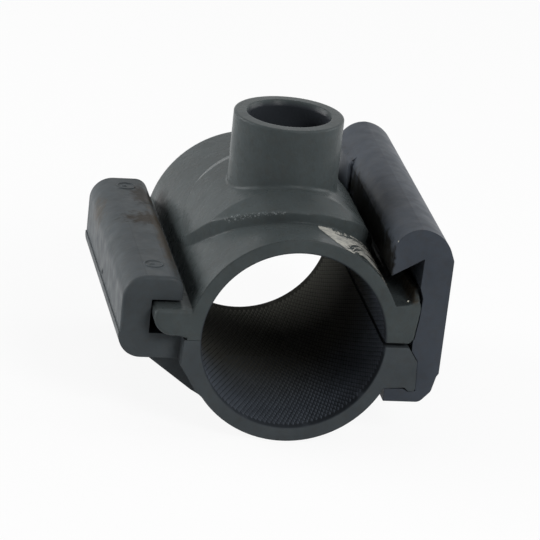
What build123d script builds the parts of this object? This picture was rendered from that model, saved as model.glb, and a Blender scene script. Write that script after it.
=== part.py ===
from build123d import *
import math
import os

# Clamp-on tapping saddle for plastic pipe, in millimetres, +Z up.
# Origin: where the axis of the branch crosses the axis of the pipe.
# +Y runs along the pipe towards the end the locking clip comes off; +X is the clip side.
# Sections across the pipe are given in X and Z and drawn out along Y.

# ---- pipe bore and the two half shells
BORE_R = 30.2            # half of a 60.3 mm pipe, and a hair
WALL = 4.8
AHEAD = 48.0             # shell in front of the branch axis
BEHIND = 60.5            # shell behind it
BORE_EDGE = 0.5          # chamfer at both ends of the bore
PART_Z = -1.0            # top face of the lower half
SEAM = 0.1               # the halves meet here along the hinge side
CLAMP_GAP = 1.6          # and stay this far apart along the clip side

# ---- branch, its socket, and the round pad it stands on
SOCKET_R = 13.4          # takes a 26.7 mm pipe
SOCKET_DEPTH = 25.4
SOCKET_WALL = 4.9
STOP_LEDGE = 1.6         # ledge the pipe stops on, round the waterway
BRANCH_RISE = 19.7       # above the crown of the pad
RIM_EDGE = 0.6
SOCKET_LEAD = 0.8        # the mouth is this much wider than the socket
LEAD_DEPTH = 1.8
PAD_MARGIN = 13.5        # pad outside the branch, seen along the branch
PAD_RISE = 7.0           # crown of the pad above the shell
PAD_TRIM = 2.0           # the pad's round across the pipe is this much smaller than the shell's
PAD_FALL = 18.0          # degrees that its roof falls from the branch towards both pipe ends
BRANCH_FOOT = 1.1        # fillet where the branch meets the pad

# ---- rubber seal in a groove round the waterway
SEAL_LAND = 2.6          # wall between waterway and groove
SEAL_WIDTH = 4.8
SEAL_DEPTH = 2.7
SEAL_FIT = 0.05

# ---- hinge: rounded tongue on the upper half, hooked channel on the lower half
TONGUE_REACH = 11.2      # beyond the shell
TONGUE_TOP = 9.2
TONGUE_NOSE = 1.7        # corner radius at its tip
HINGE_FIT = 0.35
HOOK_LIFT = 1.1          # free height over the tongue, which lets it turn
HOOK_THICK = 7.9
HOOK_CLEAR = 1.4         # from the hook's edge to the shell
CHANNEL_SETBACK = 6.2    # channel starts behind the front end face
CHANNEL_WALL = 9.5
CHANNEL_FLOOR = 0.2      # floor below the parting face
CHANNEL_BASE = 8.5       # thickness under the floor
CHANNEL_ROUND = 7.6      # outer corner radius, top
HOOK_ROUND = 4.6         # inner corner radius, top
HOOK_FRONT = 1.3         # fillet round its front end
WITNESS = 0.35           # below the mould line the channel stands proud by this
GUSSET_SETBACK = 10.5
GUSSET_DROP = 22.2       # foot of the gusset below the pipe axis

# ---- flanges that the clip locks together
FLANGE_REACH = 6.0       # upper flange beyond the shell, at its front lip
FLANGE_LEAN = 2.0        # the lip behind the front end stands this much further in
FLANGE_TOP = 19.0
FLANGE_SEAT = 5.2        # depth of the valley between shell and lip
LOWER_REACH = 6.9
LOWER_DEPTH = 16.1
FLANGE_NOTCH = 2.6       # corner taken off both flanges where they face each other
LIP_RAMP = 4.5           # length of the ramp up to the lip's front end
LIP_TURN = 21.0          # the lip reaches its running section here

# ---- locking clip
CLIP_FIT = 0.15
CLIP_SETBACK = 0.6
CLIP_WEB = 9.0           # from the flanges' reach to the outer panel
CLIP_ARM = 3.9           # arm under the lower flange
CLIP_END = 4.4           # end wall behind the flanges
CLIP_TOP = 39.9
CLIP_CLEAR = 0.8         # from the lip to the pad
LIP_DROP = 16.0          # lip's tip below the clip's top
LIP_UNDERCUT = 5.9       # its underside rises this much towards the web
PANEL_STEP = 0.9         # raised outer panel
PANEL_TOP, PANEL_FOOT = 29.4, -9.8
FOOT_ROUND = 3.0
BITE = 27.5              # rear length over which the clip closes down on the flange
BITE_DROP = 2.7          # its hook below the flange's top
SHELL_CLEAR = 0.4

SHELL_R = BORE_R + WALL
PAD_CROWN = SHELL_R + PAD_RISE
PAD_ROUND, PAD_LIFT = SHELL_R - PAD_TRIM, PAD_RISE + PAD_TRIM
BRANCH_R = SOCKET_R + SOCKET_WALL
BRANCH_TOP = PAD_CROWN + BRANCH_RISE
PORT_R = SOCKET_R - STOP_LEDGE
PAD_R = BRANCH_R + PAD_MARGIN
FRONT_Y, REAR_Y = -AHEAD, BEHIND
CLIP_FRONT, CLIP_REAR = FRONT_Y + CLIP_SETBACK, REAR_Y + 0.4
FLANGE_END = REAR_Y - CLIP_END


# ---- ways of drawing
def plane_at(y):
    return Plane(origin=(0, y, 0), x_dir=(1, 0, 0), z_dir=(0, -1, 0))


def section(points, y):
    return plane_at(y) * make_face(Polyline(*points, close=True))


def prism(points, y0, y1):
    return extrude(section(points, y1), y1 - y0)


def rail(face, y0, y1):
    """Any section drawn out along the pipe."""
    return extrude(plane_at(y1) * face, y1 - y0)


def bar(r, y0, y1):
    """Round bar about the pipe axis."""
    return Pos(0, (y0 + y1) / 2, 0) * Rot(90, 0, 0) * Cylinder(r, y1 - y0)


def post(r, z0, z1):
    """Round bar about the branch axis."""
    return Pos(0, 0, (z0 + z1) / 2) * Cylinder(r, z1 - z0)


def beside(r, z):
    """X of a surface of radius r about the pipe axis, at height z."""
    return math.sqrt(r * r - z * z)


def pad_beside(z):
    """X of the pad's round at height z."""
    return beside(PAD_ROUND, z - PAD_LIFT)


def root(z):
    """X in the middle of the shell's wall, where flanges and tongue are rooted."""
    return beside(BORE_R + WALL / 2, z)


def corner(body, x, z, radius):
    """Rounds the edge of a rail that runs along Y at x, z."""
    near = [e for e in body.edges().filter_by(Axis.Y)
            if abs(e.center().X - x) < 0.05 and abs(e.center().Z - z) < 0.05]
    return fillet(near, radius)


# ---- shells
def bore():
    flare = BORE_EDGE + 1.0
    front = Pos(0, FRONT_Y + flare / 2, 0) * Rot(90, 0, 0) * Cone(BORE_R - 1.0, BORE_R + BORE_EDGE, flare)
    rear = Pos(0, REAR_Y - flare / 2, 0) * Rot(-90, 0, 0) * Cone(BORE_R - 1.0, BORE_R + BORE_EDGE, flare)
    return bar(BORE_R, FRONT_Y - 5, REAR_Y + 5) + front + rear


def half_shell(low_left, low_right, high):
    """Shell between a face on each side of the bore and a level beyond it."""
    w = SHELL_R + 5
    keep = prism([(-w, low_left), (0, low_left), (0, low_right), (w, low_right), (w, high), (-w, high)],
                 FRONT_Y, REAR_Y)
    return bar(SHELL_R, FRONT_Y, REAR_Y) & keep


# ---- upper half
def tongue():
    """Rounded hinge tongue: flat top, small nose, and a quarter-round underside."""
    tip = -SHELL_R - TONGUE_REACH
    low, seat = PART_Z + SEAM, -SHELL_R + 0.6
    foot = low + 1.1
    r = TONGUE_TOP - foot
    body = rail(make_face(Polyline((root(0) * -1, TONGUE_TOP), (tip, TONGUE_TOP), (tip, foot),
                                   (seat - 3.0, foot), (seat, low), (root(0) * -1, low), close=True)),
                FRONT_Y, REAR_Y)
    body = corner(body, tip, foot, r * 0.72)
    body = corner(body, tip, TONGUE_TOP, TONGUE_NOSE)
    nose = body.edges().filter_by_position(Axis.Y, FRONT_Y - 0.01, FRONT_Y + 0.01)
    return fillet(nose, TONGUE_NOSE * 0.7)


def upper_flange_section(top, outer, lean):
    """Flange with a raised lip along its outer edge and a valley behind the lip."""
    low = PART_Z + CLAMP_GAP
    out = SHELL_R + outer
    valley = FLANGE_TOP - FLANGE_SEAT
    step = (top - valley) * 0.25
    return [(root(low), low), (out - FLANGE_NOTCH, low), (out - 1.3, low + 1.5), (out - 0.4, low + 8.5),
            (out - lean, top - 2.8), (out - lean - 0.9, top), (out - lean - 2.1, top - 0.4),
            (out - lean - 3.3, valley + step), (out - lean - 4.5, valley),
            (root(valley - 0.8), valley - 0.8)]


def upper_flange():
    face = section(upper_flange_section(FLANGE_TOP - 3.6, FLANGE_REACH - 0.3, 0.0), FRONT_Y)
    lip = section(upper_flange_section(FLANGE_TOP - 0.4, FLANGE_REACH, 0.0), FRONT_Y + LIP_RAMP)
    run = upper_flange_section(FLANGE_TOP, FLANGE_REACH - 0.2, FLANGE_LEAN - 0.2)
    turn = section(run, FRONT_Y + LIP_TURN)
    return (loft([face, lip], ruled=True) + loft([lip, turn], ruled=True)
            + prism(run, FRONT_Y + LIP_TURN, FLANGE_END))


def branch():
    body = post(BRANCH_R, BORE_R + WALL / 2, BRANCH_TOP)
    return fillet(body.edges().sort_by(Axis.Z)[-1], RIM_EDGE)


def pad():
    """Round pad, curved across the pipe, with a roof that falls towards both pipe ends."""
    block = post(PAD_R, 0, PAD_CROWN + 1)
    level = Pos(0, 0, PAD_LIFT) * bar(PAD_ROUND, -PAD_R - 2, PAD_R + 2)
    block = block & level
    for side in (-1, 1):
        brow = Pos(0, side * (BRANCH_R + BRANCH_FOOT + 1.0), PAD_CROWN)
        sloped = Rot(-side * PAD_FALL, 0, 0) * Pos(0, 0, -PAD_ROUND) * bar(PAD_ROUND, -4 * PAD_R, 4 * PAD_R)
        block = block & brow * sloped
    return block


def on_post(edge, r):
    """Whether an edge lies on an upright round of radius r about the branch axis."""
    return all(abs(math.hypot(p.X, p.Y) - r) < 0.01 for p in (edge @ t for t in (0.1, 0.5, 0.9)))


def branch_on_pad():
    body = branch() + pad()
    foot = [e for e in body.edges() if on_post(e, BRANCH_R) and e.center().Z < PAD_CROWN + 1]
    return fillet(foot, BRANCH_FOOT)


def waterway():
    """Socket down to its stop, the port below it, and the lead-in at the mouth."""
    stop = BRANCH_TOP - SOCKET_DEPTH
    lead = Pos(0, 0, BRANCH_TOP - LEAD_DEPTH) * Cone(SOCKET_R - SOCKET_LEAD, SOCKET_R + SOCKET_LEAD,
                                                     LEAD_DEPTH * 2)
    return post(SOCKET_R, stop, BRANCH_TOP + 1) + lead + post(PORT_R, 0, stop + 1)


def seal_space(fit):
    """Groove for the seal; with a fit it is the seal itself."""
    inner = PORT_R + SEAL_LAND
    ring = post(inner + SEAL_WIDTH - fit, 0, SHELL_R) - post(inner + fit, 0, SHELL_R)
    return ring & bar(BORE_R + SEAL_DEPTH - fit, -inner - SEAL_WIDTH - 2, inner + SEAL_WIDTH + 2)


def upper_half():
    body = half_shell(PART_Z + SEAM, PART_Z + CLAMP_GAP, SHELL_R + 5) + branch_on_pad()
    return body + tongue() + upper_flange() - bore() - waterway() - seal_space(0)


def seal_ring():
    return seal_space(SEAL_FIT) - bar(BORE_R + SEAL_FIT, -SHELL_R, SHELL_R)


# ---- lower half
def channel():
    """Hooked channel that holds the tongue, with the mould line round it."""
    web_in = -SHELL_R - TONGUE_REACH - HINGE_FIT
    web_out = web_in - CHANNEL_WALL
    floor = PART_Z - CHANNEL_FLOOR
    base = floor - CHANNEL_BASE
    ceiling = TONGUE_TOP + HOOK_LIFT
    top = ceiling + HOOK_THICK
    edge = -SHELL_R - HOOK_CLEAR
    hook = rail(make_face(Polyline((web_out, floor), (web_out, top), (edge, top), (edge, ceiling),
                                   (web_in, ceiling), (web_in, floor), close=True)),
                FRONT_Y + CHANNEL_SETBACK, REAR_Y)
    hook = corner(hook, web_out, top, CHANNEL_ROUND)
    hook = corner(hook, edge, top, HOOK_ROUND)
    rim = [e for e in hook.edges() if abs(e.center().Y - FRONT_Y - CHANNEL_SETBACK) < 0.01
           and e.bounding_box().max.Z > ceiling + 1 and e.center().X != edge
           or abs(e.center().X - web_out) < 0.01 and e.center().Y < FRONT_Y + CHANNEL_SETBACK + 0.01]
    hook = fillet(rim, HOOK_FRONT)
    low_out = web_out - WITNESS
    bed = rail(make_face(Polyline((low_out, floor), (low_out, base), (-SHELL_R + 1.0, base),
                                  (-root(base), base), (-root(floor), floor), close=True)),
               FRONT_Y + CHANNEL_SETBACK, REAR_Y)
    bed = corner(bed, low_out, base, CHANNEL_ROUND)
    gusset = prism([(-root(0), base + 1), (web_in + 0.8, base + 1), (web_in + 0.6, base - 1.1),
                    (-beside(SHELL_R, GUSSET_DROP) - 3.4, -GUSSET_DROP),
                    (-beside(SHELL_R, GUSSET_DROP + 5.5) + 0.3, -GUSSET_DROP - 5.5),
                    (-root(GUSSET_DROP), -GUSSET_DROP)],
                   FRONT_Y + GUSSET_SETBACK, REAR_Y)
    return hook + bed + gusset


def collar():
    """Thicker front end of the shell under the tongue."""
    out = SHELL_R + 1.2
    return prism([(-root(0), PART_Z), (-out + 0.4, PART_Z), (-out, -10.0), (-SHELL_R + 1.1, -13.4),
                  (-beside(SHELL_R, 18.4) - 1.1, -18.4), (-beside(SHELL_R, 21.0) + 0.2, -21.0),
                  (-root(14.0), -14.0)],
                 FRONT_Y, FRONT_Y + CHANNEL_SETBACK + 1)


def lower_flange_section():
    out = SHELL_R + LOWER_REACH
    return [(root(0), PART_Z), (out - LOWER_REACH + 3.4, PART_Z), (out - 0.4, PART_Z - 4.7),
            (out, -LOWER_DEPTH + 0.9), (out - 0.6, -LOWER_DEPTH), (out - 2.3, -LOWER_DEPTH),
            (out - 3.7, -LOWER_DEPTH + 1.2), (root(LOWER_DEPTH) + 2.5, -LOWER_DEPTH + 0.7),
            (root(LOWER_DEPTH), -LOWER_DEPTH + 0.9)]


def lower_half():
    shell = bar(SHELL_R, FRONT_Y, REAR_Y) & prism(
        [(-SHELL_R - 5, PART_Z), (SHELL_R + 5, PART_Z), (SHELL_R + 5, -SHELL_R - 5),
         (-SHELL_R - 5, -SHELL_R - 5)], FRONT_Y, REAR_Y)
    return shell + channel() + collar() + prism(lower_flange_section(), FRONT_Y, FLANGE_END) - bore()


# ---- locking clip
def clip_outline():
    """Outer outline: arched top, stepped outer panel, chamfered foot."""
    lip = pad_beside(CLIP_TOP - LIP_DROP) + CLIP_CLEAR - 0.3
    face = SHELL_R + FLANGE_REACH + CLIP_WEB
    low = -LOWER_DEPTH - CLIP_ARM
    heel = beside(SHELL_R + SHELL_CLEAR + 0.2, LOWER_DEPTH)
    left = [(lip, CLIP_TOP - 6.7), (lip, 0), (heel, 0), (heel, low), (face - 6.2, low),
            (face - 2.7, low + 3.8), (face - 1.4, PANEL_FOOT - 1.1), (face - 0.7, PANEL_FOOT),
            (face, PANEL_TOP), (face - PANEL_STEP, PANEL_TOP + 2.4)]
    crown = ((lip + face) / 2 - 1.1, CLIP_TOP)
    outer = ThreePointArc(left[-1], (face - 5.6, CLIP_TOP - 1.9), crown)
    inner = ThreePointArc(crown, (lip + 2.9, CLIP_TOP - 2.2), left[0])
    return make_face(Polyline(*left) + outer + inner)


def clip_cavity(top):
    """Space for both flanges: their own outline with the running clearance."""
    c = CLIP_FIT
    up, low = SHELL_R + FLANGE_REACH, SHELL_R + LOWER_REACH
    face = PART_Z + CLAMP_GAP
    return top + [(up + c, FLANGE_TOP - 2.8), (up - 0.4 + c, face + 8.5), (up - 1.3 + c, face + 1.5),
                  (up - 1.55, face + 0.9), (up - 1.55, PART_Z - 1.3), (low - 0.4 + c, PART_Z - 4.6),
                  (low + c, -LOWER_DEPTH + 0.9), (low + c, -LOWER_DEPTH - c),
                  (low - 2.4, -LOWER_DEPTH - c), (low - 3.9, -LOWER_DEPTH + 0.7 - c),
                  (0, -LOWER_DEPTH + 0.7 - c)]


def locking_clip():
    c = CLIP_FIT
    up = SHELL_R + FLANGE_REACH
    tip_z = CLIP_TOP - LIP_DROP
    tip_x = pad_beside(tip_z) + CLIP_CLEAR
    web = up - 1.05
    slope = LIP_UNDERCUT / (web + 0.25 - tip_x)
    open_top = [(0, tip_z - slope * tip_x), (web + 0.25, tip_z + LIP_UNDERCUT), (web, FLANGE_TOP + 0.9)]
    inner = up - FLANGE_LEAN - 3.2
    shut_top = [(0, FLANGE_TOP - BITE_DROP), (inner + 0.4 - c, FLANGE_TOP - BITE_DROP),
                (inner + 1.2 - c, FLANGE_TOP + c), (web, FLANGE_TOP + c)]
    bite_y = REAR_Y - BITE
    body = rail(clip_outline(), CLIP_FRONT, CLIP_REAR)
    low, face = -LOWER_DEPTH - CLIP_ARM, up + CLIP_WEB
    body = corner(body, face - 6.2, low, FOOT_ROUND)
    body = corner(body, face - 2.7, low + 3.8, FOOT_ROUND)
    body = body - prism(clip_cavity(open_top), CLIP_FRONT - 1, bite_y)
    body = body - prism(clip_cavity(shut_top), bite_y - 1, FLANGE_END + c)
    side = pad_beside(tip_z) - 0.6
    body = body + prism([(side, FLANGE_TOP - BITE_DROP), (side, CLIP_TOP - 5.9),
                         (side + 2.8, CLIP_TOP - 3.5),
                         (inner + 0.3, CLIP_TOP - 3.5), (inner + 0.3, FLANGE_TOP - BITE_DROP)],
                        bite_y, CLIP_REAR)
    return body - bar(SHELL_R + SHELL_CLEAR, CLIP_FRONT - 2, CLIP_REAR + 2)


PARTS = {"upper_half": upper_half, "lower_half": lower_half, "locking_clip": locking_clip,
         "seal_ring": seal_ring}

os.makedirs("parts", exist_ok=True)
for name, make in PARTS.items():
    shape = make()
    solids = shape.solids()
    box = shape.bounding_box()
    print(name, "solids", len(solids), "valid", shape.is_valid, "volume", round(shape.volume),
          [round(v, 1) for v in (box.min.X, box.min.Y, box.min.Z, box.max.X, box.max.Y, box.max.Z)])
    export_step(solids[0] if len(solids) == 1 else shape, "parts/%s.step" % name)
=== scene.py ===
import bpy
import math
import random
from mathutils import Matrix, Vector


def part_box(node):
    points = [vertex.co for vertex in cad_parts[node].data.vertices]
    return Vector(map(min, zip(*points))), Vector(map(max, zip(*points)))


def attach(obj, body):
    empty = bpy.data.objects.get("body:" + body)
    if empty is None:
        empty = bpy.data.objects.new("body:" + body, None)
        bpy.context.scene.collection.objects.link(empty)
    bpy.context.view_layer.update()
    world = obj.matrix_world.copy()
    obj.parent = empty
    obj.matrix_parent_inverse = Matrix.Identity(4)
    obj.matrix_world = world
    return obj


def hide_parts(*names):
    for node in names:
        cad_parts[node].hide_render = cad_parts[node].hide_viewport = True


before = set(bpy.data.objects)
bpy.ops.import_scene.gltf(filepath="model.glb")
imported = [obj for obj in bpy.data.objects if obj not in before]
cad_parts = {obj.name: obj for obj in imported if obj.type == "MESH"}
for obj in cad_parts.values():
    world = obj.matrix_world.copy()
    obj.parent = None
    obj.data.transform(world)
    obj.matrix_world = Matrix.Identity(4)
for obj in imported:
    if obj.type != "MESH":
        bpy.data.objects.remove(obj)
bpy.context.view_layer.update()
MM = 0.001

# ---- sizes of the saddle: its solids' own boxes, and what the solids are built with ----
UPPER_LOW, UPPER_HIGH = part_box("upper_half")
LOWER_LOW, LOWER_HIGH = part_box("lower_half")
FRONT_Y, REAR_Y = UPPER_LOW.y, UPPER_HIGH.y
SHELL_R = -LOWER_LOW.z
WALL = 4.8 * MM
BORE_R = SHELL_R - WALL
PARTING_Z = -1.0 * MM                    # top face of the lower half
CHANNEL_TOP = LOWER_HIGH.z
CHANNEL_OUT = LOWER_LOW.x + 0.35 * MM    # the channel's outer face above its mould line
CHANNEL_END = REAR_Y - 7.6 * MM          # the hinge channel shows its rear end here
CHANNEL_FOOT = -26 * MM                  # a height below all of the channel and its gusset
PAD_R = 31.8 * MM
SEAL_OUT_R = 19.2 * MM
SOCKET_R = 13.4 * MM

# ---- grip: small pointed teeth all over the bore, in rows that cross like a knurl ----
TEETH_AROUND = 120
TOOTH_TILT = math.radians(22)            # between the crossing rows and the pipe
TOOTH_WIDTH = 2 * math.pi * BORE_R / TEETH_AROUND
TOOTH_LENGTH = TOOTH_WIDTH / math.tan(TOOTH_TILT)
TOOTH_HEIGHT = 0.32 * MM
TOOTH_SUNK = 0.03 * MM                   # foot of a tooth inside the wall
GRIP_INSET = 1.6 * MM                    # smooth bore at both ends
SEAL_CLEAR = 0.6 * MM                    # smooth bore round the seal's groove
# The teeth end at each half's parting face, given as a point and a normal.
# The upper half's face rises towards the clip, because the clip pulls the halves together there.
LOWER_FACE = (Vector((0, 0, PARTING_Z + 0.03 * MM)), Vector((0, 0, 1)))
UPPER_FACE = (Vector((0, 0, -0.1 * MM)), Vector((-0.026, 0, 1)))

# ---- torn label: its outline in millimetres, with X across the shell and Y along it ----
LABEL_FRONT = [(7, -34.5), (8.7, -38.4), (11.6, -44.0), (14, -47.3), (17, -47.5), (19.5, -43.6),
               (21, -42.0), (23.2, -42.5), (27.5, -45.0), (32, -46.6)]
LABEL_START, LABEL_WIDTH = 7.0, 23.2
LABEL_EDGE, LABEL_DEPTH = -47.6, 31.0    # front edge of the whole sheet, and its length behind it
LABEL_CELLS = 170, 190                   # faces across and along the sheet
LABEL_DROP = 9 * MM                      # it is draped from this far above the shell
LABEL_REAR = -19                         # it reaches no further back than this
LABEL_PAD_GAP = 0.9                      # and stops this far in front of the pad
LABEL_LIFT = 0.12 * MM
FRAYS = 90                               # ups and downs of its ragged edges
FRAYS_PER_MM = 3.4
FRONT_FRAY, REAR_FRAY = 0.35, 0.5
TEARS = 26                               # short splits in its face
TEAR_X, TEAR_SHARE, TEAR_LENGTH = (15, 29), (-0.2, 1.0), (1.2, 4.5)
TEAR_LEAN, TEAR_GAPE = 0.12, 0.04
BITE_FROM, BITE_TO = 12, 19              # between these X a piece is gone from its rear
BITE_SHARE, BITE_FRAY = 0.86, 0.16

# ---- marks that moulding left ----
EJECTOR_R = 3.0 * MM
EJECTOR_RIDGE = 0.42 * MM
EJECTOR_SUNK = 0.16 * MM
NIB_R = 0.9 * MM
NIB_ASIDE = 0.6 * MM
NIB_SUNK = 0.1 * MM
EJECTOR_FRONT = Vector((-45.2 * MM, -30 * MM, CHANNEL_TOP))
EJECTOR_REAR = Vector((-45.0 * MM, 45 * MM, CHANNEL_TOP))
BURR_AT = (CHANNEL_OUT - 0.02 * MM, 7.5 * MM, 0.8 * MM)
BURR_R, BURR_TIP_R, BURR_HEIGHT = 1.5 * MM, 0.3 * MM, 0.9 * MM

# ---- small forms on the clip ----
BOSS_AT = (47.3 * MM, 42 * MM, 32.4 * MM)
BOSS_R, BOSS_DEPTH = 8.4 * MM, 2.4 * MM
BOSS_LEAN = math.radians(62)             # it lies on the slope of the clip's shoulder
CORNER_AT = (30.1 * MM, 32.9 * MM, 26.3 * MM)
CORNER_R, CORNER_DEPTH = 1.25 * MM, 17 * MM

# ---- crumbs of dust, in millimetres ----
FLANGE_CRUMBS = [(36.2, -47.6, 15.2), (39.6, -47.4, -6.0)]
CLIP_CRUMBS = [(31.0, -47.0, 35.4)]
CRUMB_R_LEAST, CRUMB_R_MOST = 0.28, 0.42

# ---- colours of the moulded plastic, of what has settled on it, and of painted shade and glints ----
PVC_UPPER = "3f4546"
PVC_LOWER = "3e4346"
PVC_CLIP = "3b4047"
PVC_GRIP = "464b52"
# painted shade: the bore's wall between the teeth, and the bore deep in, are coloured darker
GRIP_PIT_SHADE = "2f3338"
BORE_DEEP_SHADE = "383834"
BORE_DEEP_PIT_SHADE = "1b1b18"
# darker colour inside the branch's socket
SOCKET_INSIDE_TONE = "2b2e32"
RUBBER = "161617"
BROWN_DIRT = "3a3125"
WET_DIRT = "1c1710"
# painted shadow, nearly black, on the side of the clip's lip
LIP_SHADOW_TONE = "0e0d0b"
PALE_DUST = "a9a79c"
# painted glints: pale flecks that stand in for highlights on the pad's glossy rim
GLINT_TONE = "8b9192"
PAPER = "aeada5"
PAPER_STREAK = "6a6b6b"

# ---- how the finishes vary: pattern sizes, and factors on a colour ----
ACROSS_PIPE = (1, 0, 1)
ACROSS_BRANCH = (1, 1, 0)
CLOUDS = 14 * MM                         # the melt cooled unevenly over about this far
CLOUD_DARK, CLOUD_PALE = 0.88, 1.14
SHEEN_PATCH = 5 * MM
PEEL = 1.9 * MM                          # coarser than real orange peel, so that it shows
GRIME = 2.2 * MM
STAIN_AND_SHADOW_RAGGED = 2.6 * MM
# painted glints on the pad's rim: the ragging of their patch, where it is, and how fine the flecks are
GLINT_RAGGED = 5 * MM
GLINT_AT = (-15 * MM, -28 * MM, 36 * MM)     # front left of the pad's top edge
GLINT_RADII = (13 * MM, 7 * MM, 8 * MM)
GLINT_FLECK = 0.6 * MM
WORN_PATCH = 9 * MM
WORN_PALE = 1.35
RAGGED = 0.5                             # a patch's edge wanders by this share of its radius
FADE_START, FADE_END = 0.55, 1.15        # shares of its radius over which a patch fades
HOLE_START, HOLE_END = 0.1 * MM, 0.7 * MM    # a hole's darker colour, painted shade in the bore, fades this far outside its wall
BORE_SHADE_START, BORE_SHADE_END = 16 * MM, 50 * MM  # the bore's painted shade grows over these depths

# ---- gloss: rigid PVC's own index is about 1.53; it is matched lower, because a white room all
# round veils the dark plastic more than a few lamps do. The bore hardly shines at all.
SATIN_IOR = 1.15
BORE_IOR = 1.06

# ---- the view, in metres ----
CAMERA_AT = Vector((-0.24419, -1.24979, 0.47356))
LOOKS_AT = Vector((-0.008555, -0.039200, 0.021049))
CAMERA_UP = Vector((-0.03729, 0.35625, 0.93365))
LENS_MM = 270.8
SENSOR_MM = 36

# ---- the room, in metres and watts ----
FLOOR_SIZE = 8
FLOOR_GAP = 0.2 * MM
BOARD = (0.8, 0.8, 0.8, 1)
BOARD_LIFT = 0.9                         # share of plain white in what the eye sees of the floor
WHITE = (1, 1, 1, 1)
ROOM_FILL = 0.08                         # the room's light on the object
LAMPS_AIM = Vector((0, 0, 0.01))
SOFTBOXES = [("left_softbox", (-1.0, 0.35, 0.28), (0.8, 0.5), 13),
             ("right_softbox", (1.05, 0.1, 0.4), (0.8, 0.6), 7),
             ("top_softbox", (0.0, 0.2, 1.15), (1.0, 0.8), 3),
             ("front_softbox", (0.5, -1.1, 0.8), (0.5, 0.5), 12.5)]


# ---- materials ----

def linear(hex_colour):
    """The scene-linear colour of an sRGB hex code."""
    parts = [int(hex_colour[i:i + 2], 16) / 255 for i in (0, 2, 4)]
    return [c / 12.92 if c <= 0.04045 else ((c + 0.055) / 1.055) ** 2.4 for c in parts] + [1]


def add(tree, kind, settings=None, **inputs):
    """One shader node: settings are its own options. An input is named, with _ for a space, or
    given by its number after a _. It gets a value, a socket, or a node's first output."""
    made = tree.nodes.new(kind)
    for name, value in (settings or {}).items():
        setattr(made, name, value)
    for name, value in inputs.items():
        socket = made.inputs[int(name[1:]) if name[1:].isdigit() else name.replace("_", " ")]
        if isinstance(value, bpy.types.Node):
            value = value.outputs[0]
        if isinstance(value, bpy.types.NodeSocket):
            tree.links.new(value, socket)
        else:
            socket.default_value = value
    return made


def new_material(name):
    """An empty node material and its tree."""
    made = bpy.data.materials.new(name)
    made.use_nodes = True
    made.node_tree.nodes.clear()
    return made, made.node_tree


def grain(tree, size, detail=2.0, rough=0.5, stretch=(1, 1, 1)):
    """A soft random pattern from 0 to 1, with features of this size in metres on the piece."""
    where = add(tree, "ShaderNodeTexCoord").outputs["Object"]
    scale = [1 / (size * s) for s in stretch]
    sized = add(tree, "ShaderNodeMapping", Vector=where, Scale=scale)
    return add(tree, "ShaderNodeTexNoise", Vector=sized, Scale=1.0, Detail=detail, Roughness=rough)


def patches(tree, size, detail, rough, low=0.0, high=1.0, start=0.3, end=0.7, stretch=(1, 1, 1)):
    """Grain that runs from low to high while the pattern itself runs from start to end."""
    soft = grain(tree, size, detail, rough, stretch)
    return add(tree, "ShaderNodeMapRange", Value=soft, From_Min=start, From_Max=end,
               To_Min=low, To_Max=high)


def by_distance(tree, across, start, end, near, far):
    """Runs from near to far between two distances from an axis through the origin.
    Across is 1 for the two directions square to that axis."""
    where = add(tree, "ShaderNodeTexCoord").outputs["Object"]
    flat = add(tree, "ShaderNodeVectorMath", {"operation": "MULTIPLY"}, _0=where, _1=across)
    reach = add(tree, "ShaderNodeVectorMath", {"operation": "LENGTH"}, _0=flat).outputs["Value"]
    return add(tree, "ShaderNodeMapRange", Value=reach, From_Min=start, From_Max=end,
               To_Min=near, To_Max=far)


def blot(tree, centre, radii, ragged_size):
    """1 inside a ragged patch round a place, 0 outside it; radii are along X, Y and Z."""
    where = add(tree, "ShaderNodeTexCoord").outputs["Object"]
    moved = add(tree, "ShaderNodeMapping", {"vector_type": "TEXTURE"}, Vector=where,
                Location=centre, Scale=radii)
    reach = add(tree, "ShaderNodeVectorMath", {"operation": "LENGTH"}, _0=moved).outputs["Value"]
    wander = patches(tree, ragged_size, 5.0, 0.65, -RAGGED, RAGGED)
    ragged = add(tree, "ShaderNodeMath", {"operation": "ADD"}, _0=reach, _1=wander)
    return add(tree, "ShaderNodeMapRange", Value=ragged, From_Min=FADE_START, From_Max=FADE_END,
               To_Min=1.0, To_Max=0.0)


def painted_glints(tree):
    """1 in flecks on the front of the raised pad's top edge: painted glints, pale where light would
    catch its glossy rim.
    """
    share = patches(tree, GLINT_FLECK, 3.0, 0.7, 0.0, 1.0, 0.55, 0.64)
    near_rim = by_distance(tree, ACROSS_BRANCH, PAD_R - 1.0 * MM, PAD_R - 0.2 * MM, 0.0, 1.0)
    off_shell = by_distance(tree, ACROSS_PIPE, SHELL_R + 2.2 * MM, SHELL_R + 3.0 * MM, 0.0, 1.0)
    left_front = blot(tree, GLINT_AT, GLINT_RADII, GLINT_RAGGED)
    for limit in (near_rim, off_shell, left_front):
        share = add(tree, "ShaderNodeMath", {"operation": "MULTIPLY"}, _0=share, _1=limit)
    return share


def along_bore(tree):
    """0 at the front of the bore and 1 where it is deep and painted in shade."""
    where = add(tree, "ShaderNodeTexCoord").outputs["Object"]
    y = add(tree, "ShaderNodeSeparateXYZ", Vector=where).outputs["Y"]
    return add(tree, "ShaderNodeMapRange", Value=y, From_Min=FRONT_Y + BORE_SHADE_START,
               From_Max=FRONT_Y + BORE_SHADE_END, To_Min=0.0, To_Max=1.0)


def skin(tree, height, depth, edge):
    """The normal of a surface with its sharp edges eased to a radius, and a pattern this deep."""
    eased = add(tree, "ShaderNodeBevel", {"samples": 6}, Radius=edge)
    return add(tree, "ShaderNodeBump", Strength=1.0, Distance=depth, Height=height, Normal=eased)


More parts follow.
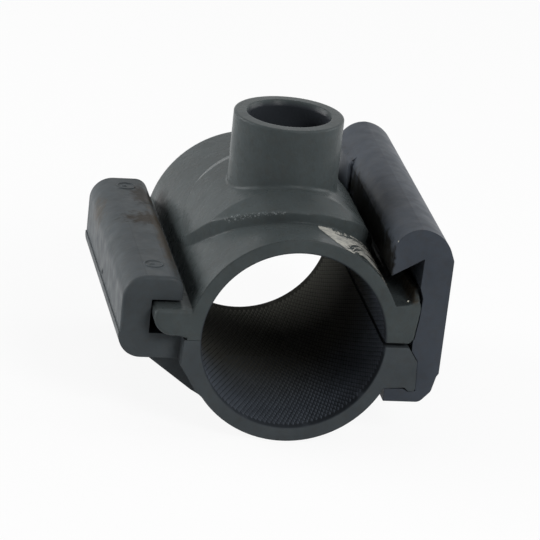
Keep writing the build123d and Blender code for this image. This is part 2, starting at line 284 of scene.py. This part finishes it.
def surface(tree, colour, roughness, normal, ior=SATIN_IOR):
    """A plastic, rubber or paper surface with its output."""
    shader = add(tree, "ShaderNodeBsdfPrincipled", Base_Color=colour, Roughness=roughness,
                 IOR=ior, Normal=normal)
    add(tree, "ShaderNodeOutputMaterial", Surface=shader)


def layered(tree, colour, layers):
    """A colour with others laid over it in order, each where its share is 1."""
    for share, over in layers:
        blend = add(tree, "ShaderNodeMix", {"data_type": "RGBA"}, _0=share, _6=colour, _7=over)
        colour = blend.outputs[2]
    return colour


def moulded_pvc(name, tone, stains_and_shadows=(), gloss=(0.34, 0.5), peel_depth=0.05 * MM, edge=0.4 * MM,
                rubbed=False):
    """Rigid PVC, injection moulded. Its satin skin shows the faint orange peel of the steel,
    with a cloudy sheen where the melt cooled unevenly and brown dirt where hands and soil were.
    Its darker bore and the patch on the clip's lip are painted shade; the pale flecks on the pad's rim
    are painted glints."""
    made, tree = new_material(name)
    plain = linear(tone)
    layers = [(patches(tree, CLOUDS, 3.0, 0.6), [c * CLOUD_PALE for c in plain]),
              (patches(tree, GRIME, 5.0, 0.7, 0.0, 0.22, 0.45, 0.75), linear(BROWN_DIRT))]
    # each is a dirt patch, or the painted shadow on the clip's lip, laid on in its colour
    for centre, radii, strength, soil in stains_and_shadows:
        stain_or_shadow = blot(tree, centre, radii, STAIN_AND_SHADOW_RAGGED)
        share = add(tree, "ShaderNodeMath", {"operation": "MULTIPLY"}, _0=stain_or_shadow, _1=strength)
        layers.append((share, linear(soil)))
    # Painted shade: inside the bore the wall between the teeth is coloured darker, and darker still
    # deep in.
    in_bore = by_distance(tree, ACROSS_PIPE, BORE_R + HOLE_START, BORE_R + HOLE_END, 1.0, 0.0)
    bore = layered(tree, linear(GRIP_PIT_SHADE), [(along_bore(tree), linear(BORE_DEEP_PIT_SHADE))])
    layers.append((in_bore, bore))
    # Inside the branch's socket the colour is darker.
    in_socket = by_distance(tree, ACROSS_BRANCH, SOCKET_R + HOLE_START, SOCKET_R + HOLE_END, 1.0, 0.0)
    layers.append((in_socket, linear(SOCKET_INSIDE_TONE)))
    # painted glints on the pad's rim: a pale colour standing in for highlights
    if rubbed:
        layers.append((painted_glints(tree), linear(GLINT_TONE)))
    colour = layered(tree, [c * CLOUD_DARK for c in plain], layers)
    sheen = patches(tree, SHEEN_PATCH, 3.0, 0.5, *gloss)
    roughness = add(tree, "ShaderNodeMath", {"operation": "MAXIMUM"}, _0=sheen, _1=in_bore)
    surface(tree, colour, roughness, skin(tree, grain(tree, PEEL, 2.0, 0.55), peel_depth, edge))
    return made


def grip_pvc():
    """The same PVC in the bore: sharp teeth that hold the pipe, matt, and painted darker deep in as
    shade.
    """
    made, tree = new_material("grip_pvc")
    plain = linear(PVC_GRIP)
    worn = patches(tree, WORN_PATCH, 4.0, 0.6)
    # Painted shade: the teeth are coloured darker deep in the bore.
    colour = layered(tree, plain, [(worn, [c * WORN_PALE for c in plain]),
                                   (along_bore(tree), linear(BORE_DEEP_SHADE))])
    normal = skin(tree, grain(tree, 0.8 * MM), 0.03 * MM, 0.1 * MM)
    surface(tree, colour, 0.75, normal, ior=BORE_IOR)
    return made


def seal_rubber():
    """Black nitrile rubber, moulded and vulcanised: it gives the eye a flat, dark ring."""
    made, tree = new_material("nitrile_rubber")
    surface(tree, linear(RUBBER), 0.62, skin(tree, grain(tree, 0.5 * MM), 0.02 * MM, 0.3 * MM))
    return made


def label_paper():
    """Coated label paper, torn off: what is left is rubbed grey, with streaks where its plies split."""
    made, tree = new_material("torn_label_paper")
    streaks = patches(tree, 1.4 * MM, 5.0, 0.7, 0.0, 1.0, 0.42, 0.66, stretch=(3.0, 1.2, 1.0))
    colour = layered(tree, linear(PAPER), [(streaks, linear(PAPER_STREAK))])
    crinkle = grain(tree, 1.1 * MM, 4.0, 0.65)
    surface(tree, colour, 0.55, skin(tree, crinkle, 0.12 * MM, 0.05 * MM))
    return made


def dust():
    """Dried dust and PVC shavings caught on edges: pale, matt and crumbly."""
    made, tree = new_material("pale_dust")
    surface(tree, linear(PALE_DUST), 0.8, skin(tree, grain(tree, 0.3 * MM), 0.05 * MM, 0.05 * MM))
    return made


def clothe(name, material):
    """Gives every face of a solid this material."""
    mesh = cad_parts[name].data
    mesh.materials.clear()
    mesh.materials.append(material)


# Each entry is its centre, its radii along X, Y and Z, its strength, and the dirt or painted shadow it
# is made of.
FLANGE_STAIN = ((38.4 * MM, -36 * MM, 16.5 * MM), (2.2 * MM, 15 * MM, 3.0 * MM), 0.8, BROWN_DIRT)
CHANNEL_STAINS = [((-41.5 * MM, 13.5 * MM, CHANNEL_TOP), (8.5 * MM, 6.0 * MM, 6 * MM), 1.0, WET_DIRT),
                  ((-40.0 * MM, 36.0 * MM, CHANNEL_TOP), (4.5 * MM, 10.0 * MM, 6 * MM), 0.9, WET_DIRT),
                  ((-54 * MM, 32.0 * MM, 11 * MM), (3.0 * MM, 10.0 * MM, 5 * MM), 0.7, BROWN_DIRT),
                  ((-38.5 * MM, -4.0 * MM, 17 * MM), (2.5 * MM, 34.0 * MM, 3 * MM), 0.7, BROWN_DIRT)]
# painted shadow, nearly black, along the side of the clip's lip where the branch and shell keep the
# light off
LIP_SHADOW_PATCH = ((29.9 * MM, -8 * MM, 27 * MM), (0.9 * MM, 70 * MM, 9 * MM), 1.0, LIP_SHADOW_TONE)

# the upper shell carries the painted glints on its pad's rim
upper_pvc = moulded_pvc("upper_shell_pvc", PVC_UPPER, [FLANGE_STAIN], gloss=(0.22, 0.36),
                        peel_depth=0.08 * MM, edge=0.9 * MM, rubbed=True)
lower_pvc = moulded_pvc("lower_shell_pvc", PVC_LOWER, CHANNEL_STAINS)
# the clip carries the painted shadow on its lip side
clip_pvc = moulded_pvc("clip_pvc", PVC_CLIP, [LIP_SHADOW_PATCH], peel_depth=0.03 * MM)
clothe("upper_half", upper_pvc)
clothe("lower_half", lower_pvc)
clothe("locking_clip", clip_pvc)
clothe("seal_ring", seal_rubber())


# ---- pieces ----

def deselect():
    """Leaves nothing selected."""
    bpy.ops.object.select_all(action="DESELECT")


def only(piece):
    """Makes this object the one selected and active object."""
    deselect()
    piece.select_set(True)
    bpy.context.view_layer.objects.active = piece


def settle():
    """Puts the selected object's place, turn and scale into its mesh."""
    bpy.ops.object.transform_apply(location=True, rotation=True, scale=True)


def apply_all(piece):
    """Applies the modifiers in order."""
    only(piece)
    for modifier in list(piece.modifiers):
        bpy.ops.object.modifier_apply(modifier=modifier.name)


def join(pieces):
    """One object from several, named after the first."""
    only(pieces[0])
    for piece in pieces:
        piece.select_set(True)
    bpy.ops.object.join()
    return bpy.context.object


def soften(piece, width, segments):
    """Rounds the sharp edges and applies it."""
    bevel = piece.modifiers.new("soften", "BEVEL")
    bevel.width = width
    bevel.segments = segments
    bevel.limit_method = "ANGLE"
    apply_all(piece)


def delete_faces(piece, unwanted):
    """Deletes the faces whose centre passes the test."""
    only(piece)
    bpy.ops.object.mode_set(mode="EDIT")
    bpy.ops.mesh.select_mode(type="FACE")
    bpy.ops.mesh.select_all(action="DESELECT")
    bpy.ops.object.mode_set(mode="OBJECT")
    for face in piece.data.polygons:
        face.select = unwanted(face.center)
    bpy.ops.object.mode_set(mode="EDIT")
    bpy.ops.mesh.delete(type="FACE")
    bpy.ops.object.mode_set(mode="OBJECT")


def cut_away(piece, point, normal):
    """Cuts along a plane and clears the side its normal points to."""
    only(piece)
    bpy.ops.object.mode_set(mode="EDIT")
    bpy.ops.mesh.select_all(action="SELECT")
    bpy.ops.mesh.bisect(plane_co=point, plane_no=normal, clear_outer=True)
    bpy.ops.object.mode_set(mode="OBJECT")


def dress(piece, name, material, body):
    """Names a finished piece, gives it its material, and sets it on its body."""
    piece.name = name
    piece.data.materials.clear()
    piece.data.materials.append(material)
    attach(piece, body)


def copy_of_solid(name):
    """A copy of a solid, free of its body and with its loose triangles merged."""
    deselect()
    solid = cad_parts[name]
    copied = solid.copy()
    copied.data = solid.data.copy()
    copied.parent = None
    bpy.context.scene.collection.objects.link(copied)
    for key in list(copied.keys()):
        del copied[key]
    only(copied)
    bpy.ops.object.mode_set(mode="EDIT")
    bpy.ops.mesh.select_all(action="SELECT")
    bpy.ops.mesh.remove_doubles(threshold=0.001 * MM)
    bpy.ops.object.mode_set(mode="OBJECT")
    return copied


def lower_shell(material):
    """The lower half as it shows, with the hinge channel set back from the rear end of the shell."""
    shown = copy_of_solid("lower_half")
    low = Vector((LOWER_LOW.x - MM, CHANNEL_END, CHANNEL_FOOT))
    high = Vector((-SHELL_R - 0.2 * MM, REAR_Y + MM, CHANNEL_TOP + MM))
    bpy.ops.mesh.primitive_cube_add(size=1, location=(low + high) / 2)
    cutter = bpy.context.object
    cutter.scale = high - low
    settle()
    setback = shown.modifiers.new("setback", "BOOLEAN")
    setback.operation = "DIFFERENCE"
    setback.solver = "EXACT"
    setback.object = cutter
    apply_all(shown)
    bpy.data.objects.remove(cutter)
    dress(shown, "lower_shell", material, "saddle")
    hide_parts("lower_half")


def repeat_by_step(piece, count, step):
    """Adds an array of copies, each moved on by a plain step."""
    array = piece.modifiers.new("along", "ARRAY")
    array.count = count
    array.use_relative_offset = False
    array.use_constant_offset = True
    array.constant_offset_displace = step


def repeat_by_turn(piece, count, turn, shift=(0, 0, 0)):
    """Adds an array of copies, each turned on about the bore and shifted; returns its guide."""
    array = piece.modifiers.new("around", "ARRAY")
    array.count = count
    array.use_relative_offset = False
    bpy.ops.object.empty_add(location=shift, rotation=(0, turn, 0))
    guide = bpy.context.object
    array.use_object_offset = True
    array.offset_object = guide
    return guide


def teeth():
    """Pointed teeth with a diamond-shaped foot, staggered round and along the bore."""
    deselect()
    bpy.ops.mesh.primitive_cone_add(vertices=4, radius1=1, radius2=0, depth=TOOTH_HEIGHT, location=(
        0, FRONT_Y + GRIP_INSET + TOOTH_LENGTH / 2, -BORE_R + TOOTH_HEIGHT / 2 - TOOTH_SUNK))
    tooth = bpy.context.object
    tooth.scale = (TOOTH_WIDTH / 2, TOOTH_LENGTH / 2, 1)
    settle()
    rows = int((REAR_Y - FRONT_Y - 2 * GRIP_INSET) / TOOTH_LENGTH)
    around = 2 * math.pi / TEETH_AROUND
    repeat_by_step(tooth, rows, (0, TOOTH_LENGTH, 0))
    guides = [repeat_by_turn(tooth, 2, around / 2, (0, TOOTH_LENGTH / 2, 0)),
              repeat_by_turn(tooth, TEETH_AROUND, around)]
    bpy.context.view_layer.update()
    apply_all(tooth)
    for guide in guides:
        bpy.data.objects.remove(guide)
    return tooth


def close_ends(piece):
    """Caps the teeth that were cut and turns all faces outwards."""
    only(piece)
    bpy.ops.object.mode_set(mode="EDIT")
    bpy.ops.mesh.select_all(action="SELECT")
    bpy.ops.mesh.fill_holes(sides=6)
    bpy.ops.mesh.select_all(action="SELECT")
    bpy.ops.mesh.normals_make_consistent(inside=False)
    bpy.ops.object.mode_set(mode="OBJECT")


def lower_grip(material):
    """The teeth in the lower half of the bore, cut at its parting face."""
    grip = teeth()
    point, normal = LOWER_FACE
    cut_away(grip, point, normal)
    close_ends(grip)
    dress(grip, "bore_grip_lower", material, "saddle")


def upper_grip(material):
    """The teeth in the upper half of the bore, cut at its parting face and clear of the seal."""
    grip = teeth()
    point, normal = UPPER_FACE
    cut_away(grip, point, -normal)
    clear = SEAL_OUT_R + SEAL_CLEAR
    delete_faces(grip, lambda c: c.z > 0 and math.hypot(c.x, c.y) < clear)
    close_ends(grip)
    dress(grip, "bore_grip_upper", material, "saddle")


def between(x, points):
    """Height at x of a line through points given in order of x."""
    for (x0, y0), (x1, y1) in zip(points, points[1:]):
        if x0 <= x <= x1:
            return y0 + (y1 - y0) * (x - x0) / (x1 - x0)
    return points[-1][1]


def torn_label(material):
    """Remnant of a paper label, draped over the shell's shoulder with a ragged torn outline."""
    deselect()
    bpy.ops.mesh.primitive_grid_add(
        x_subdivisions=LABEL_CELLS[0], y_subdivisions=LABEL_CELLS[1], size=1,
        location=((LABEL_START + LABEL_WIDTH / 2) * MM, (LABEL_EDGE + LABEL_DEPTH / 2) * MM,
                  SHELL_R + LABEL_DROP))
    label = bpy.context.object
    label.scale = (LABEL_WIDTH * MM, LABEL_DEPTH * MM, 1)
    settle()
    chance = random.Random(7)
    frays = [chance.uniform(-1, 1) for _ in range(FRAYS)]
    tears = [(chance.uniform(*TEAR_X), chance.uniform(*TEAR_SHARE), chance.uniform(*TEAR_LENGTH))
             for _ in range(TEARS)]

    def torn(c):
        """True off the label, in the splits, and where a piece is gone from its rear."""
        x, y = c.x / MM, c.y / MM
        step = (x - LABEL_START) * FRAYS_PER_MM
        cell = min(FRAYS - 2, max(0, int(step)))
        ragged = frays[cell] * (1 - step + cell) + frays[cell + 1] * (step - cell)
        low = between(x, LABEL_FRONT) + FRONT_FRAY * ragged
        pad = -math.sqrt((PAD_R / MM + LABEL_PAD_GAP) ** 2 - x * x)
        high = min(LABEL_REAR, pad) + REAR_FRAY * ragged
        share = (y - low) / (high - low)
        for at, middle, length in tears:
            along = (x - at) / length
            gape = TEAR_GAPE * (1 - along * along)
            if abs(along) < 1 and abs(share - middle - TEAR_LEAN * along) < gape:
                return True
        bitten = BITE_FROM < x < BITE_TO and share > BITE_SHARE - BITE_FRAY * ragged
        return not 0 < share < 1 or bitten

    delete_faces(label, torn)
    wrap = label.modifiers.new("wrap", "SHRINKWRAP")
    wrap.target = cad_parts["upper_half"]
    wrap.wrap_method = "PROJECT"
    wrap.use_project_z = True
    wrap.use_negative_direction = True
    wrap.use_positive_direction = False
    wrap.offset = LABEL_LIFT
    apply_all(label)
    bpy.ops.object.shade_smooth()
    dress(label, "torn_label", material, "saddle")


def ejector_mark(name, at, material):
    """Shallow ring and centre nib that an ejector pin leaves in the moulding."""
    deselect()
    bpy.ops.mesh.primitive_torus_add(major_segments=44, minor_segments=8, major_radius=EJECTOR_R,
                                     minor_radius=EJECTOR_RIDGE,
                                     location=(at.x, at.y, at.z - EJECTOR_SUNK))
    ring = bpy.context.object
    bpy.ops.mesh.primitive_uv_sphere_add(segments=20, ring_count=10, radius=NIB_R,
                                         location=(at.x - NIB_ASIDE, at.y, at.z - NIB_SUNK))
    nib = bpy.context.object
    nib.scale = (1.2, 0.7, 0.4)
    mark = join([ring, nib])
    settle()
    bpy.ops.object.shade_smooth()
    dress(mark, name, material, "saddle")


def clip_boss(material):
    """Low rounded boss on the clip's outer shoulder."""
    deselect()
    bpy.ops.mesh.primitive_cylinder_add(vertices=48, radius=BOSS_R, depth=BOSS_DEPTH,
                                        location=BOSS_AT, rotation=(0, BOSS_LEAN, 0))
    boss = bpy.context.object
    boss.scale = (0.5, 1, 1)
    settle()
    soften(boss, 1.1 * MM, 5)
    bpy.ops.object.shade_smooth()
    dress(boss, "clip_boss", material, "clip")


def clip_shoulder(material):
    """Rounded corner where the clip's lip runs into its closed rear length."""
    deselect()
    bpy.ops.mesh.primitive_cylinder_add(vertices=24, radius=CORNER_R, depth=CORNER_DEPTH,
                                        location=CORNER_AT)
    corner = bpy.context.object
    settle()
    soften(corner, 0.9 * MM, 4)
    bpy.ops.object.shade_smooth()
    dress(corner, "clip_shoulder", material, "clip")


def gate_burr(material):
    """Burr on the channel's outer face, left where the gate was snapped off."""
    deselect()
    bpy.ops.mesh.primitive_cone_add(vertices=5, radius1=BURR_R, radius2=BURR_TIP_R,
                                    depth=BURR_HEIGHT, location=BURR_AT,
                                    rotation=(0, -math.pi / 2, 0))
    burr = bpy.context.object
    burr.scale = (1.5, 0.5, 0.6)
    settle()
    soften(burr, 0.12 * MM, 2)
    dress(burr, "gate_burr", material, "saddle")


def specks(name, places, body, material):
    """Crumbs of pale dust at the given places, each a small lump."""
    chance = random.Random(3)
    lumps = []
    for crumb_at in places:
        deselect()
        bpy.ops.mesh.primitive_ico_sphere_add(
            subdivisions=2, radius=chance.uniform(CRUMB_R_LEAST, CRUMB_R_MOST) * MM,
            location=Vector(crumb_at) * MM)
        lump = bpy.context.object
        lump.scale = [chance.uniform(0.6, 1.3) for _ in range(3)]
        settle()
        lumps.append(lump)
    crumbs = join(lumps)
    bpy.ops.object.shade_smooth()
    dress(crumbs, name, material, body)


shaded_grip_pvc = grip_pvc()
lower_grip(shaded_grip_pvc)
upper_grip(shaded_grip_pvc)
torn_label(label_paper())
ejector_mark("ejector_mark_front", EJECTOR_FRONT, lower_pvc)
ejector_mark("ejector_mark_rear", EJECTOR_REAR, lower_pvc)
lower_shell(lower_pvc)
clip_shoulder(clip_pvc)
gate_burr(lower_pvc)
clip_boss(clip_pvc)
pale = dust()
specks("flange_specks", FLANGE_CRUMBS, "saddle", pale)
specks("clip_specks", CLIP_CRUMBS, "clip", pale)


# ---- floor, background, light and camera ----

def seen_directly(tree):
    """1 for rays from the eye, from gloss and through clear things, and 0 for the rest."""
    ray = add(tree, "ShaderNodeLightPath")
    first = add(tree, "ShaderNodeMath", {"operation": "MAXIMUM"}, _0=ray.outputs["Is Camera Ray"],
                _1=ray.outputs["Is Glossy Ray"])
    return add(tree, "ShaderNodeMath", {"operation": "MAXIMUM"}, _0=first,
               _1=ray.outputs["Is Transmission Ray"])


def studio_floor():
    """White painted board: matt, and lifted to white for the eye so that only the shadow shows."""
    made, tree = new_material("white_board")
    board = add(tree, "ShaderNodeBsdfDiffuse", Color=BOARD)
    white = add(tree, "ShaderNodeEmission", Color=WHITE, Strength=1.0)
    lifted = add(tree, "ShaderNodeMixShader", _0=BOARD_LIFT, _1=board, _2=white)
    chosen = add(tree, "ShaderNodeMixShader", _0=seen_directly(tree), _1=board, _2=lifted)
    add(tree, "ShaderNodeOutputMaterial", Surface=chosen)
    return made


def white_world():
    """An even white room: full white to the eye and to gloss, and a lower fill on the object."""
    world = bpy.data.worlds.new("white_room")
    world.use_nodes = True
    tree = world.node_tree
    tree.nodes.clear()
    fill = add(tree, "ShaderNodeBackground", Color=WHITE, Strength=ROOM_FILL)
    white = add(tree, "ShaderNodeBackground", Color=WHITE, Strength=1.0)
    chosen = add(tree, "ShaderNodeMixShader", _0=seen_directly(tree), _1=fill, _2=white)
    add(tree, "ShaderNodeOutputWorld", Surface=chosen)
    bpy.context.scene.world = world


def softbox(name, at, size, watts):
    """A large soft area lamp that faces the object."""
    lamp = bpy.data.lights.new(name, "AREA")
    lamp.shape = "RECTANGLE"
    lamp.size, lamp.size_y = size
    lamp.energy = watts
    made = bpy.data.objects.new(name, lamp)
    bpy.context.scene.collection.objects.link(made)
    made.location = at
    made.rotation_euler = (LAMPS_AIM - Vector(at)).to_track_quat("-Z", "Y").to_euler()


def camera():
    """The camera, turned by its up direction, with no depth of field."""
    ahead = (LOOKS_AT - CAMERA_AT).normalized()
    right = ahead.cross(CAMERA_UP).normalized()
    up = right.cross(ahead)
    data = bpy.data.cameras.new("camera")
    data.lens = LENS_MM
    data.sensor_width = SENSOR_MM
    made = bpy.data.objects.new("camera", data)
    bpy.context.scene.collection.objects.link(made)
    turn = Matrix((right, up, -ahead)).transposed().to_4x4()
    made.matrix_world = Matrix.Translation(CAMERA_AT) @ turn
    bpy.context.scene.camera = made


deselect()
bpy.ops.mesh.primitive_plane_add(size=FLOOR_SIZE, location=(0, 0, LOWER_LOW.z - FLOOR_GAP))
floor = bpy.context.object
floor.name = "floor"
floor.data.materials.append(studio_floor())
white_world()
for name, at, size, watts in SOFTBOXES:
    softbox(name, at, size, watts)
camera()

bpy.context.scene.view_settings.view_transform = "Standard"
